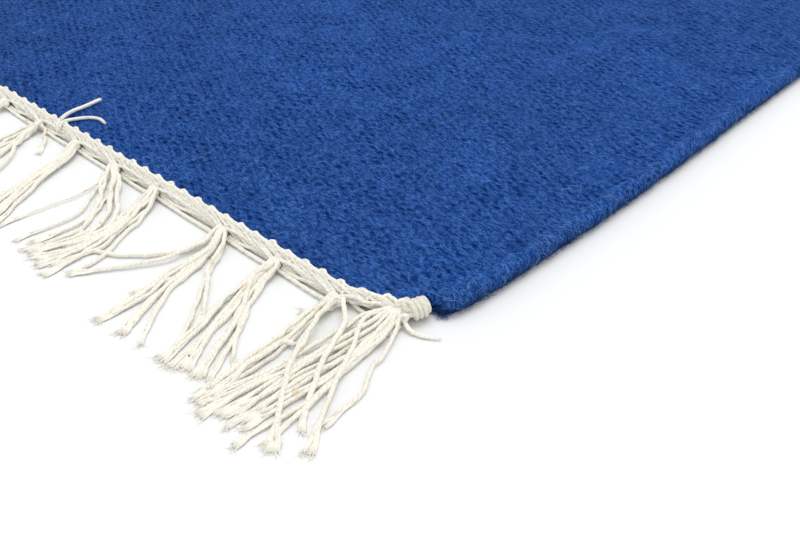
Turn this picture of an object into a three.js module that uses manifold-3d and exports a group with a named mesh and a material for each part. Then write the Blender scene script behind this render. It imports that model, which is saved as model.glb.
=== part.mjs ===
// A flat-woven kilim rug lying flat on the floor.
// Millimetres, +Z up. The origin is on the floor under the middle of the rug,
// X runs from selvedge to selvedge and Y along the warps, from fringe to fringe.
import * as THREE from 'three';
import * as BufferGeometryUtils from 'three/addons/utils/BufferGeometryUtils.js';
import Module from 'manifold-3d';

const wasm = await Module();
wasm.setup();

// Woven field
const fieldWidth = 600; // over both selvedges
const fieldLength = 900; // first weft to last weft
const fieldThick = 5.6;
const selvedgeRadius = 3.5; // the wrapped bundle of outer warps at each side
const selvedgeFoot = 4.5; // width of the ease from the bundle down to the field
const stationStep = 60; // spacing of the cross-sections along the field
const bowDepth = 3.8; // how far a side is drawn in between its widest places
const sides = [
  { name: 'right', sign: 1, bows: 2 },
  { name: 'left', sign: -1, bows: 1 },
];

// The drawn-in corner, from the end's straight run round to the straight selvedge
const cornerRows = [
  { fromSide: 34, fromEnd: 0 },
  { fromSide: 26, fromEnd: 2.5 },
  { fromSide: 16, fromEnd: 7.1 },
  { fromSide: 12.2, fromEnd: 13.9 },
  { fromSide: 7, fromEnd: 14.2 },
  { fromSide: 4.4, fromEnd: 15.2 },
  { fromSide: 3, fromEnd: 19 },
  { fromSide: 1.9, fromEnd: 27 },
  { fromSide: 1.1, fromEnd: 40 },
  { fromSide: 0.6, fromEnd: 60 },
  { fromSide: 0, fromEnd: 94 },
];

// Twined end finish
const pieceGap = 0.4; // between neighbouring pieces
const bandWidth = 3.6;
const bandHeight = 6.3;
const bandEndFromSide = 16; // where it runs into the corner whipping
const bandStep = 70; // spacing of its cross-sections along the end

// Fringe: an edge cord, with a knotted tassel wherever the cord turns down
const cordWidth = 1.6;
const knotHeight = 4;
const knotWidth = 4.5;
const tipHeight = 1.6;
const fringeReach = 62; // last weft to the longest tip
const tasselPitch = 29;
const cornerKnotFromSide = 13.5;
const cordInsetLimit = 8.5; // the edge cord stops short of the steep part of the corner
const tasselStations = [0, 0.08, 0.3, 0.65, 1]; // shares of a tassel's reach

// Tassels near the front right corner: knot and tip are distances in from the right side
const cornerTassels = [
  { knot: 13.5, tip: 19, reach: 1, spread: 28 },
  { knot: 34.5, tip: 16, reach: 0.86, spread: 24 },
  { knot: 64, tip: 43, reach: 0.86, spread: 22 },
  { knot: 92, tip: 81, reach: 0.93, spread: 24 },
  { knot: 92, tip: 113, reach: 0.87, spread: 10 },
  { knot: 132.5, tip: 121, reach: 0.8, spread: 14 },
  { knot: 158, tip: 129, reach: 0.74, spread: 14 },
  { knot: 186.5, tip: 177, reach: 0.76, spread: 14 },
  { knot: 215, tip: 207, reach: 0.78, spread: 16 },
];

// Corner whipping: a short winding of cord round the bound corner
const whipRadius = 3.7;
const whipLength = 6.8;
const whipTurns = 4;
const whipGroove = 0.35; // depth between neighbouring turns
const whipFromSide = 10.35;
const whipFromEnd = 8.6;
const whipTurnDegrees = 57; // from the end line towards the selvedge
const whipLift = 3.9;

const wool = { color: 0x2b5296, roughness: 0.95, metalness: 0 };
const cotton = { color: 0xe9e3d5, roughness: 0.9, metalness: 0 };

const { lerp, clamp, degToRad } = THREE.MathUtils;
const halfWidth = fieldWidth / 2;
const halfLength = fieldLength / 2;
const lastCornerRow = cornerRows.at(-1);

// Value of column `wanted` where column `known` is `at`, along the corner's rows
function alongCorner(known, wanted, at) {
  const ascending = lastCornerRow[known] > cornerRows[0][known];
  const rows = ascending ? cornerRows : cornerRows.toReversed();
  const next = rows.findIndex((row) => row[known] >= at);
  if (next === -1) return rows.at(-1)[wanted];
  if (next === 0) return rows[0][wanted];
  const [a, b] = [rows[next - 1], rows[next]];
  return lerp(a[wanted], b[wanted], (at - a[known]) / (b[known] - a[known]));
}

// Distance from the rug's middle line to its side at y
function sideAt(side, y) {
  const fromEnd = halfLength - Math.abs(y);
  const run = 2 * (halfLength - lastCornerRow.fromEnd);
  const share = clamp((y + run / 2) / run, 0, 1);
  const bow = (bowDepth / 2) * (1 - Math.cos(2 * Math.PI * side.bows * share));
  return halfWidth - bow - alongCorner('fromEnd', 'fromSide', fromEnd);
}

// How far the end line is drawn in at x
function endInset(x) {
  return alongCorner('fromSide', 'fromEnd', halfWidth - Math.abs(x));
}

// A closed section swept through stations; place(u, v, station) gives each point
function sweep(section, stations, place, curveSegments = 6) {
  const steps = stations.length - 1;
  const swept = new THREE.ExtrudeGeometry(section, { steps, depth: steps, bevelEnabled: false, curveSegments });
  swept.deleteAttribute('normal');
  swept.deleteAttribute('uv');
  const geometry = BufferGeometryUtils.mergeVertices(swept);
  const position = geometry.getAttribute('position');
  for (let i = 0; i < position.count; i++) {
    const station = stations[Math.round(position.getZ(i))];
    position.setXYZ(i, ...place(position.getX(i), position.getY(i), station));
  }
  geometry.computeVertexNormals();
  return geometry;
}

// Even stations from one value to another, both included
function evenStations(from, to, step) {
  const count = Math.ceil(Math.abs(to - from) / step);
  return Array.from({ length: count + 1 }, (_, i) => lerp(from, to, i / count));
}

function toManifold(geometry) {
  return new wasm.Manifold(
    new wasm.Mesh({
      numProp: 3,
      vertProperties: new Float32Array(geometry.getAttribute('position').array),
      triVerts: new Uint32Array(geometry.index.array),
    }),
  );
}

function fromManifold(solid) {
  const mesh = solid.getMesh();
  const geometry = new THREE.BufferGeometry();
  geometry.setAttribute('position', new THREE.BufferAttribute(new Float32Array(mesh.vertProperties), 3));
  geometry.setIndex(new THREE.BufferAttribute(new Uint32Array(mesh.triVerts), 1));
  geometry.computeVertexNormals();
  return geometry;
}

function named(name, geometry, finish) {
  const mesh = new THREE.Mesh(geometry, new THREE.MeshStandardMaterial(finish));
  mesh.name = name;
  return mesh;
}

// The field's cross-section: flat underneath, with a round selvedge at each side
function fieldSection() {
  const centre = halfWidth - selvedgeRadius;
  const foot = centre - selvedgeFoot;
  const crown = 1.1; // radians past level to the top of the round
  const section = new THREE.Shape();
  section.moveTo(-centre, 0);
  section.lineTo(centre, 0);
  section.absarc(centre, selvedgeRadius, selvedgeRadius, -Math.PI / 2, Math.PI / 2 + crown / 2, false);
  section.lineTo(foot, fieldThick);
  section.lineTo(-foot, fieldThick);
  section.absarc(-centre, selvedgeRadius, selvedgeRadius, Math.PI / 2 - crown / 2, (3 * Math.PI) / 2, false);
  return section;
}

function wovenField() {
  const ends = cornerRows.map((row) => halfLength - row.fromEnd);
  const inner = halfLength - lastCornerRow.fromEnd;
  const between = evenStations(inner, -inner, stationStep).slice(1, -1);
  const stations = [...ends, ...between, ...ends.map((y) => -y).reverse()];
  return sweep(fieldSection(), stations, (u, v, y) => {
    const side = sides.find((s) => s.sign === (Math.sign(u) || 1));
    return [u - side.sign * (halfWidth - sideAt(side, y)), y, v];
  });
}

// Sections along the front end, from the right corner to the left one
function endStations(reach) {
  const bends = cornerRows.map((row) => halfWidth - row.fromSide).filter((x) => x < reach);
  const straight = evenStations(bends[0], -bends[0], bandStep).slice(1, -1);
  return [reach, ...bends.toReversed(), ...straight, ...bends.map((x) => -x), -reach];
}

// The twined band lies against the end of the field, its crest by the weft and its face sloping to the floor
function twinedBand() {
  const section = new THREE.Shape();
  section.moveTo(0, 0);
  section.lineTo(bandWidth * 0.96, 0);
  section.lineTo(bandWidth, bandHeight * 0.2);
  section.lineTo(bandWidth * 0.9, bandHeight * 0.55);
  section.lineTo(bandWidth * 0.62, bandHeight * 0.87);
  section.lineTo(bandWidth * 0.3, bandHeight);
  section.lineTo(0, bandHeight * 0.9);
  return sweep(section, endStations(halfWidth - bandEndFromSide), (u, v, x) => [
    x,
    -halfLength + endInset(x) - pieceGap - u,
    v,
  ]);
}

// Middle of the edge cord at x, lying against the foot of the band
function cordLine(x) {
  const outward = pieceGap + bandWidth + pieceGap + cordWidth / 2;
  return -halfLength + Math.min(endInset(x), cordInsetLimit) - outward;
}

function edgeCord() {
  const section = new THREE.Shape();
  section.absarc(0, cordWidth / 2, cordWidth / 2, 0, 2 * Math.PI, false);
  const reach = halfWidth - cornerKnotFromSide;
  return sweep(
    section,
    endStations(reach),
    (u, v, x) => [x, cordLine(x) - u, v],
    4,
  );
}

// One tassel: a knot on the edge cord, opening into a fan that lies on the floor
function tassel({ knot, tip, reach, spread }) {
  const section = new THREE.Shape();
  section.moveTo(-0.5, 0);
  section.lineTo(0.5, 0);
  section.lineTo(0.5, 0.5);
  section.lineTo(0.25, 1);
  section.lineTo(-0.25, 1);
  section.lineTo(-0.5, 0.5);
  const line = Math.min(cordLine(knot - knotWidth / 2), cordLine(knot + knotWidth / 2));
  const root = line + cordWidth / 4;
  const length = root + halfLength + fringeReach * reach;
  return sweep(section, tasselStations, (u, v, share) => [
    lerp(knot, tip, share) + u * lerp(knotWidth, spread, share),
    root - length * share,
    v * lerp(knotHeight, tipHeight, clamp(3 * share, 0, 1)),
  ]);
}

// Knots from one corner to the other: given rows first, then an even run with a seeded sway
function tasselRow(given, seed) {
  const sway = (range) => {
    seed = (seed * 16807) % 2147483647;
    return range * ((2 * seed) / 2147483647 - 1);
  };
  const rows = given.map((row) => ({ ...row, knot: halfWidth - row.knot, tip: halfWidth - row.tip }));
  const from = rows.length ? rows.at(-1).knot - tasselPitch : halfWidth - cornerKnotFromSide;
  const to = -halfWidth + cornerKnotFromSide;
  for (const place of evenStations(from, to, tasselPitch)) {
    const corner = halfWidth - Math.abs(place) <= cornerKnotFromSide;
    const knot = corner ? place : place + sway(2);
    const tip = corner ? place : knot + sway(9);
    rows.push({ knot, tip, reach: corner ? 1 : 0.82 + sway(0.08), spread: corner ? 26 : 18 + sway(4) });
  }
  return rows;
}

function fringe(given, seed) {
  const solids = [edgeCord(), ...tasselRow(given, seed).map(tassel)].map(toManifold);
  return fromManifold(solids.reduce((comb, solid) => comb.add(solid)));
}

// A winding of cord turns, as a ribbed barrel closed at both ends
function cornerWhipping() {
  const turn = whipLength / whipTurns;
  const profile = [new THREE.Vector2(0, -whipLength / 2)];
  for (let i = 0; i < whipTurns; i++) {
    const start = -whipLength / 2 + i * turn;
    profile.push(new THREE.Vector2(whipRadius - whipGroove, start));
    profile.push(new THREE.Vector2(whipRadius, start + turn / 2));
  }
  profile.push(new THREE.Vector2(whipRadius - whipGroove, whipLength / 2));
  profile.push(new THREE.Vector2(0, whipLength / 2));
  const barrel = new THREE.LatheGeometry(profile, 14);
  barrel.deleteAttribute('normal');
  barrel.deleteAttribute('uv');
  const geometry = BufferGeometryUtils.mergeVertices(barrel);
  geometry.computeVertexNormals();
  return geometry;
}

// What is worked onto the front end; the back end is the same thing turned half round
function endPieces(end, given, seed) {
  const group = new THREE.Group();
  group.add(named(`twined_band_${end}`, twinedBand(), cotton));
  group.add(named(`fringe_${end}`, fringe(given, seed), cotton));
  for (const side of sides) {
    const whipping = named(`corner_whipping_${end}_${side.name}`, cornerWhipping(), cotton);
    whipping.position.set(side.sign * (halfWidth - whipFromSide), -halfLength + whipFromEnd, whipLift);
    whipping.rotation.z = side.sign * degToRad(whipTurnDegrees - 90);
    group.add(whipping);
  }
  return group;
}

const rug = new THREE.Group();
rug.add(named('woven_field', wovenField(), wool));
rug.add(endPieces('front', cornerTassels, 7));
const back = endPieces('back', [], 31);
back.rotation.z = Math.PI;
rug.add(back);

export default rug;
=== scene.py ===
import math
import random
from functools import partialmethod

import bmesh
import bpy
import numpy as np
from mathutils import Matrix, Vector


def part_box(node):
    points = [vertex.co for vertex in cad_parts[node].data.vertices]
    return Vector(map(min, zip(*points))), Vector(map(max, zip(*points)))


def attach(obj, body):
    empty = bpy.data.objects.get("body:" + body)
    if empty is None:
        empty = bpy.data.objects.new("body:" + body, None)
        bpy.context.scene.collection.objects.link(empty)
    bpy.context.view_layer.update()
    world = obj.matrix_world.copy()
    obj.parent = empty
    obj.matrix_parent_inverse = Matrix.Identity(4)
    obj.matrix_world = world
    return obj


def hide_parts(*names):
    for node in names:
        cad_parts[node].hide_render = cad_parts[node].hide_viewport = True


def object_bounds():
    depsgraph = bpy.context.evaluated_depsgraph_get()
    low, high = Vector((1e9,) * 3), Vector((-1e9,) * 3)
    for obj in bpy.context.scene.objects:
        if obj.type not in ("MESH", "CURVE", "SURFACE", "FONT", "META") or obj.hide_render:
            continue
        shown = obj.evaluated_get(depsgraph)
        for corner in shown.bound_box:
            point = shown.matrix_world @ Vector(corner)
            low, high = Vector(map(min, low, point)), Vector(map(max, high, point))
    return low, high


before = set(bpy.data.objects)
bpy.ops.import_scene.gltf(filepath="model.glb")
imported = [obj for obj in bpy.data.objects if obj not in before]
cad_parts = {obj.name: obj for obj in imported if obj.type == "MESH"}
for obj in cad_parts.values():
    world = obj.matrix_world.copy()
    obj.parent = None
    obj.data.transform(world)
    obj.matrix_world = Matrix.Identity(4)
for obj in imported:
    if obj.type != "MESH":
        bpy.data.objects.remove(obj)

# A kilim rug lying flat. Sizes in the dictionaries are millimetres, the scene is in metres.
mm = 0.001
cadLow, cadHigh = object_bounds()
fieldLow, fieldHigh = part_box("woven_field")
halfWidth = (fieldHigh.x - fieldLow.x) / 2 / mm
halfLength = (fieldHigh.y - fieldLow.y) / 2 / mm

viewpoint = dict(fromSide=146.2, fromEnd=167.1, height=183.8, tilt=55.2, turn=43.3, lens=43.2)


def addObject(name, data):
    made = bpy.data.objects.new(name, data)
    bpy.context.collection.objects.link(made)
    return made


def addCamera():
    data = bpy.data.cameras.new("cornerView")
    data.lens = viewpoint["lens"]
    data.sensor_width = 36
    data.clip_start = 0.01
    camera = addObject("cornerView", data)
    camera.location = (
        fieldHigh.x + viewpoint["fromSide"] * mm,
        fieldLow.y - viewpoint["fromEnd"] * mm,
        fieldLow.z + viewpoint["height"] * mm,
    )
    camera.rotation_euler = (math.radians(viewpoint["tilt"]), 0, math.radians(viewpoint["turn"]))
    bpy.context.scene.camera = camera


addCamera()
print("camera placed")


def connect(tree, value, socket):
    if isinstance(value, Wire):
        tree.links.new(value.socket, socket)
    else:
        socket.default_value = value


def addNode(tree, kind, inputs=None, **settings):
    node = tree.nodes.new(kind)
    for name, value in settings.items():
        setattr(node, name, value)
    for name, value in (inputs or {}).items():
        connect(tree, value, node.inputs[name])
    return node


class Wire:
    # What leaves a node, to be reckoned with like a number
    def __init__(self, node, output=0):
        self.tree = node.id_data
        self.socket = node.outputs[output]

    def do(self, operation, *others):
        inputs = dict(enumerate((self, *others)))
        return Wire(addNode(self.tree, "ShaderNodeMath", inputs, operation=operation))

    __add__ = partialmethod(do, "ADD")
    __sub__ = partialmethod(do, "SUBTRACT")
    __mul__ = partialmethod(do, "MULTIPLY")
    __truediv__ = partialmethod(do, "DIVIDE")
    __rsub__ = partialmethod(do, "MULTIPLY_ADD", -1)
    __abs__ = partialmethod(do, "ABSOLUTE")

    def vector(self, operation, inputs):
        return Wire(addNode(self.tree, "ShaderNodeVectorMath", {0: self, **inputs}, operation=operation))

    def parts(self):
        node = addNode(self.tree, "ShaderNodeSeparateXYZ", {0: self})
        return [Wire(node, axis) for axis in range(3)]

    def remap(self, fromLow, fromHigh, toLow=0.0, toHigh=1.0, shape="SMOOTHSTEP"):
        labels = ("Value", "From Min", "From Max", "To Min", "To Max")
        inputs = dict(zip(labels, (self, fromLow, fromHigh, toLow, toHigh)))
        return Wire(addNode(self.tree, "ShaderNodeMapRange", inputs, interpolation_type=shape))

    def noise(self, scale, detail=2.0, roughness=0.5, distortion=0.0, output="Fac"):
        labels = ("Vector", "Scale", "Detail", "Roughness", "Distortion")
        inputs = dict(zip(labels, (self, scale, detail, roughness, distortion)))
        return Wire(addNode(self.tree, "ShaderNodeTexNoise", inputs), output)


def blendColour(tree, factor, a, b, mode="MIX"):
    node = addNode(tree, "ShaderNodeMix", data_type="RGBA", blend_type=mode, clamp_factor=True)
    sockets = {socket.identifier: socket for socket in node.inputs}
    for name, value in (("Factor_Float", factor), ("A_Color", a), ("B_Color", b)):
        connect(tree, value, sockets[name])
    return Wire(node, [socket.identifier for socket in node.outputs].index("Result_Color"))


def newGroup(name, inputs, outputs):
    group = bpy.data.node_groups.new(name, "ShaderNodeTree")
    group.interface.new_socket("Place", in_out="INPUT", socket_type="NodeSocketVector")
    for label, value in inputs.items():
        socket = group.interface.new_socket(label, in_out="INPUT", socket_type="NodeSocketFloat")
        socket.default_value = value
    for label in outputs:
        group.interface.new_socket(label, in_out="OUTPUT", socket_type="NodeSocketFloat")
    start = group.nodes.new("NodeGroupInput")
    end = group.nodes.new("NodeGroupOutput")
    return group, [Wire(start, label) for label in ("Place", *inputs)], end.inputs


def useGroup(group, place, **inputs):
    node = addNode(place.tree, "ShaderNodeGroup", {"Place": place, **inputs}, node_tree=group)
    return [Wire(node, label) for label in node.outputs.keys()]


def fromSrgb(*levels):
    c = np.array(levels) / 255
    return (*np.where(c <= 0.04045, c / 12.92, ((c + 0.055) / 1.055) ** 2.4), 1)


def newMaterial(name, roughness, sheen=0.0, specular=0.15):
    material = bpy.data.materials.new(name)
    material.use_nodes = True
    tree = material.node_tree
    shader = tree.nodes["Principled BSDF"]
    inputs = {"Roughness": roughness, "Specular IOR Level": specular, "Sheen Weight": sheen}
    for label, value in {**inputs, "Sheen Roughness": 0.5}.items():
        connect(tree, value, shader.inputs[label])
    return material, tree, shader


def finishMaterial(tree, shader, colour, height, distance):
    connect(tree, colour, shader.inputs["Base Color"])
    bump = addNode(tree, "ShaderNodeBump", {"Height": height, "Distance": distance})
    connect(tree, Wire(bump, "Normal"), shader.inputs["Normal"])


def inMillimetres(place):
    return place.vector("SCALE", {"Scale": 1 / mm})


def wander(place, amounts):
    # Moves a pattern about a little; amounts are (size, reach) pairs
    for size, reach in amounts:
        drift = place.noise(1 / size, 1.0, output="Color").vector("SUBTRACT", {1: (0.5, 0.5, 0.5)})
        place = place.vector("ADD", {1: drift.vector("SCALE", {"Scale": 2 * reach})})
    return place


def fibreGroup():
    # Streaks of fibre combed along a direction, and a web of single curly fibres
    inputs = dict(Angle=0.0, Along=0.5, Across=3.5, Curl=1.0)
    group, (place, angle, along, across, curl), end = newGroup("fibres", inputs, ("Streak", "Web"))
    inputs = {"Vector": place, "Angle": angle}
    turn = addNode(group, "ShaderNodeVectorRotate", inputs, rotation_type="Z_AXIS")
    scale = Wire(addNode(group, "ShaderNodeCombineXYZ", {0: along, 1: across, 2: 1.0}))
    stretched = Wire(turn).vector("MULTIPLY", {1: scale})
    grain = stretched.noise(1.0, 2.0, roughness=0.65, distortion=0.5)
    away = abs(stretched.noise(0.45, 1.0, distortion=curl) - 0.5)
    connect(group, grain.remap(0.3, 0.7), end["Streak"])
    connect(group, away.remap(0.035, 0.0), end["Web"])
    return group


weave = dict(
    pitch=8.6, pick=2.02, slitLength=1.8, slitWidth=0.8, slant=0.14, sway=2.1, faintest=0.2,
    # The darkest colour below, and the hollow and slit amounts, paint shade into the slits and hollows
    # between floats
    slitReach=(1.25, 0.1), hollowReach=(2.4, 0.0), hollow=0.24, slit=0.48, rollFade=0.8, underShade=0.76,
    slitShade=fromSrgb(0, 20, 80), body=fromSrgb(3, 69, 158), crest=fromSrgb(96, 153, 240), hillDepth=0.0006,
    # The last two numbers on the next line set a wave of painted light along the rug
    sheenTint=fromSrgb(90, 142, 255), mottle=0.09, lightFalloff=0.06, lightFalloffSize=76,
    tufts=dict(Angle=math.radians(7), Along=0.44, Across=1.1, Curl=1.0),
    combed=dict(Angle=math.radians(10), Along=0.52, Across=2.4, Curl=2.4),
    crossed=dict(Angle=math.radians(-38), Along=0.55, Across=2.4, Curl=2.4),
    steep=dict(Angle=math.radians(70), Along=0.6, Across=2.2, Curl=2.2),
)


def weftGroup():
    # Weft-faced plain weave: rows of floats, each row shifted by half a pitch, with a slit between floats
    group, (place,), end = newGroup("weftFloats", {}, ("Slit", "Hollow", "Tone"))
    x, y, _ = place.parts()
    rowNumber = (y / weave["pick"]).do("FLOOR")
    found = []
    for step in (0, 1):
        row = rowNumber + step
        along = x / weave["pitch"] + (row * 0.5).do("FRACT")
        cell = Wire(addNode(group, "ShaderNodeCombineXYZ", {0: along.do("FLOOR"), 1: row, 2: 0.0}))
        chance = addNode(group, "ShaderNodeTexWhiteNoise", {"Vector": cell}, noise_dimensions="2D")
        split = addNode(group, "ShaderNodeSeparateColor", {0: Wire(chance, "Color")})
        aside, faint, tone = (Wire(split, part) for part in range(3))
        dx = (along.do("FRACT") - 0.5) * weave["pitch"] + (tone - 0.5) * weave["sway"]
        dy = y - row * weave["pick"] + (aside - 0.5) * (weave["sway"] * 0.5) + dx * weave["slant"]
        farX, farY = dx / weave["slitLength"], dy / weave["slitWidth"]
        far = (farX * farX + farY * farY).do("SQRT")
        strength = faint.remap(0.0, 1.0, weave["faintest"], 1.0, shape="LINEAR")
        slit, hollow = (far.remap(*weave[reach]) * strength for reach in ("slitReach", "hollowReach"))
        found.append((slit, hollow, tone))
    (slitA, hollowA, toneA), (slitB, hollowB, toneB) = found
    connect(group, slitA.do("MAXIMUM", slitB), end["Slit"])
    connect(group, hollowA.do("SMOOTH_MAX", hollowB, 0.15), end["Hollow"])
    connect(group, hollowB.do("GREATER_THAN", hollowA) * (toneB - toneA) + toneA, end["Tone"])
    return group


def woolMaterial():
    material, tree, shader = newMaterial("blueWool", 0.95, sheen=0.12, specular=0.05)
    shader.inputs["Sheen Tint"].default_value = weave["sheenTint"]
    shader.inputs["Diffuse Roughness"].default_value = 1.0
    uv = Wire(addNode(tree, "ShaderNodeUVMap", uv_map="UVMap"))
    place = wander(inMillimetres(uv), [(14.0, 0.7), (3.0, 0.5)])
    slit, hollow, tone = useGroup(weftGroup(), place)
    fibres = fibreGroup()
    tufts, combed, crossed, steep = (
        useGroup(fibres, place, **weave[kind]) for kind in ("tufts", "combed", "crossed", "steep")
    )
    web = combed[1].do("MAXIMUM", crossed[1].do("MAXIMUM", steep[1]))
    solid = Wire(addNode(tree, "ShaderNodeTexCoord"), "Object")
    height = solid.parts()[2]
    onRoll = abs(height - outline["thick"] * mm).remap(0.45 * mm, 1.0 * mm, 0.0, weave["rollFade"])
    clear = place.noise(0.055).remap(0.38, 0.62, 0.2, 1.0) * (1 - onRoll)

    # Light to dark: tufts of wool, finer fibres over them, single fibres on top, and slits and hollows
    # between floats darkened as painted shade
    level = tufts[0] * 0.44 - 0.045 + (combed[0] * 0.6 + crossed[0] * 0.4) * 0.6 + web * 0.4 + tone * 0.1
    level -= (hollow * weave["hollow"] + slit * weave["slit"]) * clear
    ramp = addNode(tree, "ShaderNodeValToRGB", {"Fac": level})
    ramp.color_ramp.elements[0].color = weave["slitShade"]
    ramp.color_ramp.elements[1].color = weave["crest"]
    ramp.color_ramp.elements.new(0.5).color = weave["body"]

    # Tone: broad patches and mottling, a wave along the rug that is painted light, and a darker underside
    # that is painted shade
    # Painted light: a slow wave along the rug, darkest at the front end, stands in for light falling off
    paintedLightWave = (place.parts()[1] / weave["lightFalloffSize"] + 4.2).do("SINE") * weave["lightFalloff"] + 1.0
    patchesAndPaintedLight = place.noise(0.03).remap(0.3, 0.7, 0.93, 1.04) * paintedLightWave
    patchesAndPaintedLight *= place.noise(0.16, roughness=0.6).remap(0.3, 0.7, 1 - weave["mottle"], 1 + weave["mottle"])
    # Painted shade: the wool darkens from near the top of the roll down towards the floor
    patchesAndPaintedLight *= 1 - height.remap(6.6 * mm, 1.4 * mm, 0.0, weave["underShade"])
    grey = Wire(addNode(tree, "ShaderNodeCombineColor", {0: patchesAndPaintedLight, 1: patchesAndPaintedLight, 2: patchesAndPaintedLight}))
    colour = blendColour(tree, 1.0, Wire(ramp), grey, "MULTIPLY")
    finishMaterial(tree, shader, colour, level, weave["hillDepth"])
    return material


cotton = dict(
    # The groove colours are painted shade, darker and warmer, for the grooves between plies and the low
    # fluff
    body=fromSrgb(255, 252, 242), grooveShade=fromSrgb(240, 234, 214), deepGrooveShade=fromSrgb(224, 212, 180),
    tan=fromSrgb(214, 182, 140), fleck=fromSrgb(130, 104, 76), wisp=fromSrgb(254, 252, 246),
    wispTan=fromSrgb(250, 243, 226), plies=2, bump=0.0004,
)


def cottonMaterial(name, twist, depth, tanShare, shade=(1, 1, 1), grooveShade="grooveShade", lumpy=0.0, sheen=0.35):
    # Two-ply cotton: u runs once round the cord, v along it in metres
    material, tree, shader = newMaterial(name, 0.9, sheen=sheen)
    around, along, _ = Wire(addNode(tree, "ShaderNodeUVMap", uv_map="UVMap")).parts()
    place = inMillimetres(Wire(addNode(tree, "ShaderNodeTexCoord"), "Object"))
    turns = along * (1 / (twist * mm)) + place.noise(0.5, 1.0) * 1.2 + around * cotton["plies"]
    ply = abs((turns * math.pi).do("SINE"))
    tint = Wire(addNode(tree, "ShaderNodeAttribute", attribute_name="strandTint"), "Fac")
    fluff = place.noise(1.6, 4.0, roughness=0.7, distortion=1.0)
    stain = place.noise(0.13, 3.0, roughness=0.6)
    specks = Wire(addNode(tree, "ShaderNodeTexVoronoi", {"Vector": place, "Scale": 0.1}), "Distance")
    # Painted shade: where the fluff is low and in the ply grooves, the cord takes the groove colour
    sunkenShade = fluff.remap(0.46, 0.3) * 0.5 + ply.remap(0.6, 0.0) * fluff.remap(0.62, 0.4, 0.25, 1.0) * depth
    body, hollow = ([c * s for c, s in zip(cotton[part], shade)] + [1] for part in ("body", grooveShade))
    colour = blendColour(tree, sunkenShade, body, hollow)
    yellowed = tint.do("POWER", 4.0) * (tanShare * 0.2) + stain.remap(0.6, 0.72) * tanShare
    colour = blendColour(tree, yellowed, colour, cotton["tan"])
    colour = blendColour(tree, specks.remap(0.04, 0.015), colour, cotton["fleck"])
    height = place.noise(0.62, 1.0).remap(0.3, 0.7) * lumpy + fluff * 0.4 + ply * depth
    finishMaterial(tree, shader, colour, height, cotton["bump"])
    return material


def hairMaterial(name, colour, other):
    # Single fibres, each somewhere between two colours
    material, tree, shader = newMaterial(name, 0.8)
    tint = Wire(addNode(tree, "ShaderNodeAttribute", attribute_name="strandTint"), "Fac")
    connect(tree, blendColour(tree, tint, colour, other), shader.inputs["Base Color"])
    return material


outline = dict(
    thick=5.6, roll=3.5, foot=4.5, bowDepth=3.8, bows={1: 2, -1: 1},
    # How far the wool stays in from the side, and how far from the end it does so
    corner=[(34, 0), (26, 2.5), (16, 7.1), (12.2, 13.9), (7, 14.2), (4.4, 15.2), (3, 19), (1.9, 27),
            (1.1, 40), (0.6, 60), (0, 94)],
)


def smoothRun(points, perSpan):
    # Catmull-Rom run through a few points, with evenly many samples in each span
    points = np.asarray(points, float)
    padded = np.vstack([2 * points[0] - points[1], points, 2 * points[-1] - points[-2]])
    t = np.linspace(0, 1, perSpan, endpoint=False)[:, None]
    run = []
    for a, b, c, d in zip(padded, padded[1:], padded[2:], padded[3:]):
        squared, cubed = 2 * a - 5 * b + 4 * c - d, 3 * b - a - 3 * c + d
        run.append(0.5 * (2 * b + (c - a) * t + squared * t**2 + cubed * t**3))
    return np.vstack(run + [points[-1:]])


cornerRun = smoothRun(outline["corner"], 6)
cornerRun[:, 1] = np.maximum.accumulate(cornerRun[:, 1])
cornerRun[:, 0] = np.minimum.accumulate(cornerRun[:, 0])


def sideAt(sign, y):
    # Distance from the middle line to the side at y
    fromEnd = halfLength - np.abs(y)
    run = 2 * (halfLength - outline["corner"][-1][1])
    share = np.clip((y + run / 2) / run, 0, 1)
    bow = outline["bowDepth"] / 2 * (1 - np.cos(2 * np.pi * outline["bows"][sign] * share))
    return halfWidth - bow - np.interp(fromEnd, cornerRun[:, 1], cornerRun[:, 0])


def endInset(x):
    return np.interp(halfWidth - np.abs(x), cornerRun[::-1, 0], cornerRun[::-1, 1])


fieldMesh = dict(
    rowStep=1.5, column=12, rollSteps=13, footSteps=(0.3, 0.6, 0.85), rollStart=116, unevenness=0.26,
    cockle=0.35,
)


def readMesh(items, name, width=1, kind=float):
    values = np.empty(len(items) * width, kind)
    items.foreach_get(name, values)
    return values.reshape(-1, width) if width > 1 else values


def gridMesh(name, columns, rows, size):
    bm = bmesh.new()
    bmesh.ops.create_grid(bm, x_segments=columns, y_segments=rows, size=size)
    mesh = bpy.data.meshes.new(name)
    bm.to_mesh(mesh)
    bm.free()
    return mesh


def addPiece(name, mesh, material):
    mesh.materials.append(material)
    mesh.shade_smooth()
    piece = addObject(name, mesh)
    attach(piece, "root")
    print(name, len(mesh.polygons), "faces")
    return piece


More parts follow.
